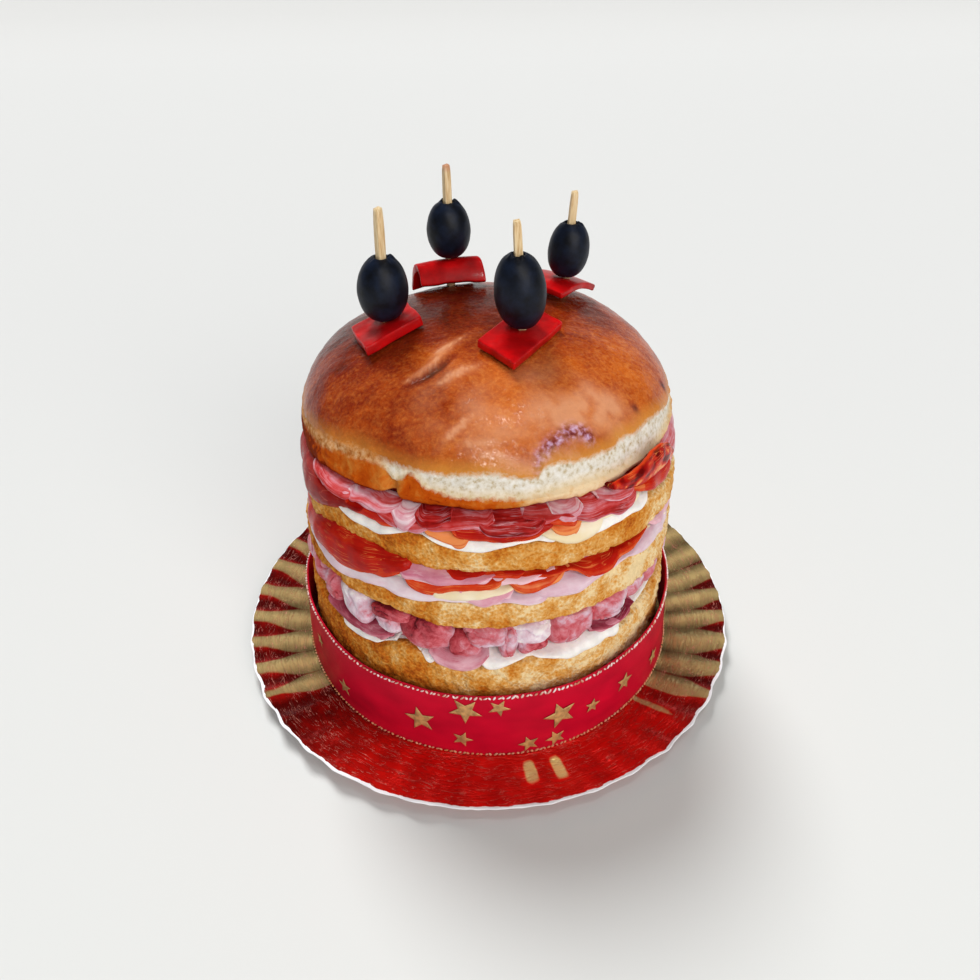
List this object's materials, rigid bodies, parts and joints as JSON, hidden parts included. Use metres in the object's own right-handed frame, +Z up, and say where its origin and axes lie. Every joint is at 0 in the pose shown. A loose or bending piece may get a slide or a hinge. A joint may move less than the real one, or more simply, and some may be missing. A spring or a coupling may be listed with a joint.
{
  "type": "stuffed savoury panettone",
  "caption": "Tall domed loaf cut across into slices with meat, cheese and spread between them, olives on sticks on top, a starred ribbon round its foot and a fluted foil plate under it.",
  "frame": {"origin": "the middle of the plate's underside, on the surface that the plate stands on", "axes": "+Z up through the loaf, -Y towards the front that the picture shows, +X to its right"},
  "size_m": [0.206, 0.206, 0.1801],
  "materials": {
    "foil_card": "mirror-like crinkled foil, dark red with gold on the far flutes",
    "satin_ribbon": "satin",
    "toasted_slice": "matte and grainy",
    "glazed_crust": "glossy egg glaze",
    "cooked_meat": "moist",
    "soft_spread": "smooth and soft",
    "cooked_ham": "moist",
    "pale_ham": "moist",
    "sliced_cheese": "smooth",
    "salami": "oily",
    "cured_ham": "oily",
    "stick_wood": "bare",
    "black_olive": "satin",
    "red_pepper": "wet gloss"
  },
  "bodies": {
    "root": {"plate": "foil_card", "ribbon": "satin_ribbon", "bread_base": "toasted_slice", "bread_lower": "toasted_slice", "bread_upper": "toasted_slice", "bread_dome": "glazed_crust", "base_meat": "cooked_meat", "base_spread": "soft_spread", "base_ham": "cooked_ham", "middle_ham": "pale_ham", "middle_cheese": "sliced_cheese", "middle_salami": "salami", "middle_pink_ham": "cooked_ham", "top_spread": "soft_spread", "top_cheese": "sliced_cheese", "top_salami": "salami", "top_cured_ham": "cured_ham", "top_ham": "cooked_ham", "top_salami_flap": "salami", "stick_front": "stick_wood", "olive_front": "black_olive", "pepper_front": "red_pepper", "stick_left": "stick_wood", "olive_left": "black_olive", "pepper_left": "red_pepper", "stick_back": "stick_wood", "olive_back": "black_olive", "pepper_back": "red_pepper", "stick_right": "stick_wood", "olive_right": "black_olive", "pepper_right": "red_pepper"}
  },
  "joints": []
}
